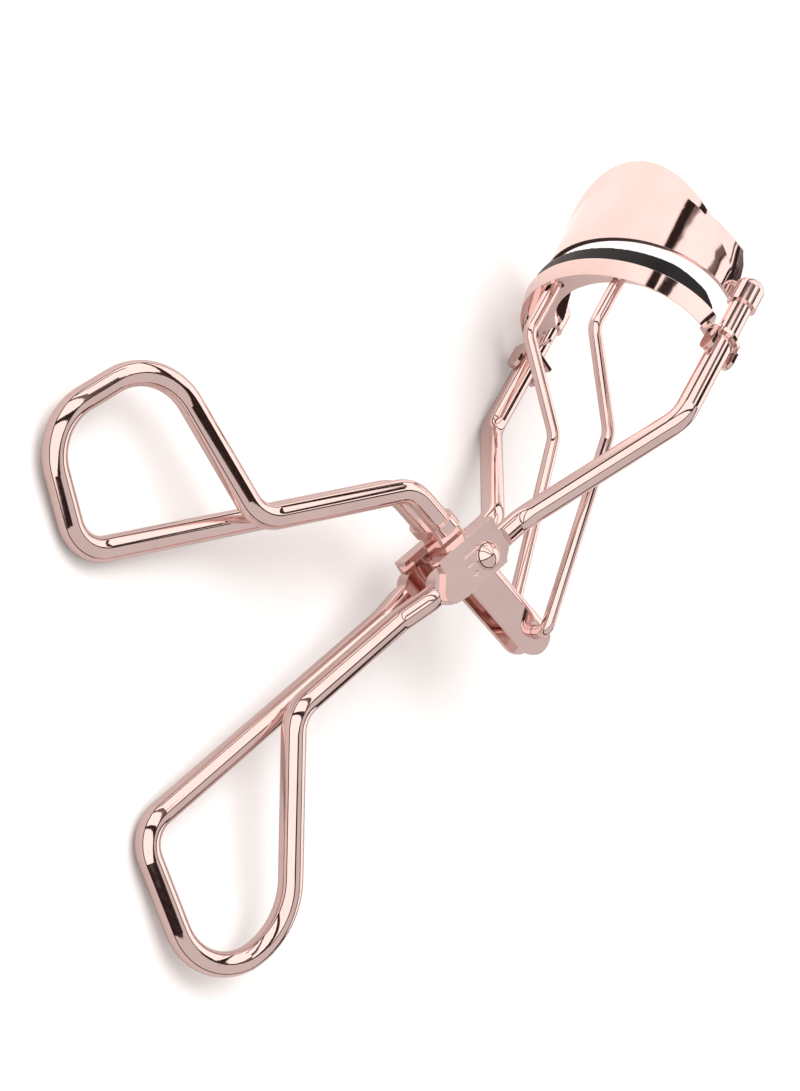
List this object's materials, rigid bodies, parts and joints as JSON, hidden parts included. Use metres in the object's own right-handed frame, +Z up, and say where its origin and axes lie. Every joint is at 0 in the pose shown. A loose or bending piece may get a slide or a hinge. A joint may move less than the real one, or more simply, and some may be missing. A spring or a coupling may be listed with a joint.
{
  "type": "eyelash curler",
  "caption": "Eyelash curler with looped wire handles, a riveted lever, a wire link and curved jaws with a rubber pad, lying on its side.",
  "frame": {"origin": "centre of the bounding box's base, on the table the tool lies on", "axes": "+X runs along the rails towards the jaws as seen from above, +Z is up from the table towards the tool's right side, +Y is the side the lever's handle swings to"},
  "size_m": [0.11, 0.0674, 0.0389],
  "materials": {
    "rose_gold": "polished rose gold plating on steel",
    "pad_rubber": "satin black"
  },
  "bodies": {
    "frame": {"frame_wire": "rose_gold", "right_cheek": "rose_gold", "left_cheek": "rose_gold", "pivot_rivet": "rose_gold", "upper_jaw": "rose_gold"},
    "lever": {"lever": "rose_gold", "handle_wire": "rose_gold"},
    "link": {"link_wire": "rose_gold"},
    "lower_jaw": {"lower_jaw": "rose_gold", "pad": "pad_rubber"}
  },
  "joints": [
    {"name": "lever_hinge", "type": "hinge", "parent": "frame", "child": "lever", "pos_m": [0.00161, -0.01858, 0.01313], "axis": [-0.1606, 0.1365, 0.9775], "range_deg": [-25, 10]},
    {"name": "link_hinge", "type": "hinge", "parent": "lever", "child": "link", "pos_m": [-0.00035, -0.03106, 0.01455], "axis": [-0.1606, 0.1365, 0.9775], "range_deg": [-9.7, 23.4]},
    {"name": "jaw_slide", "type": "slide", "parent": "frame", "child": "lower_jaw", "axis": [0.9868, 0, 0.1621], "range_m": [-0.00472, 0.00189]}
  ],
  "couplings": [
    {"joint": "link_hinge", "follows": "lever_hinge", "ratio": -0.918},
    {"joint": "jaw_slide", "follows": "lever_hinge", "m_per_rad": 0.01077}
  ]
}
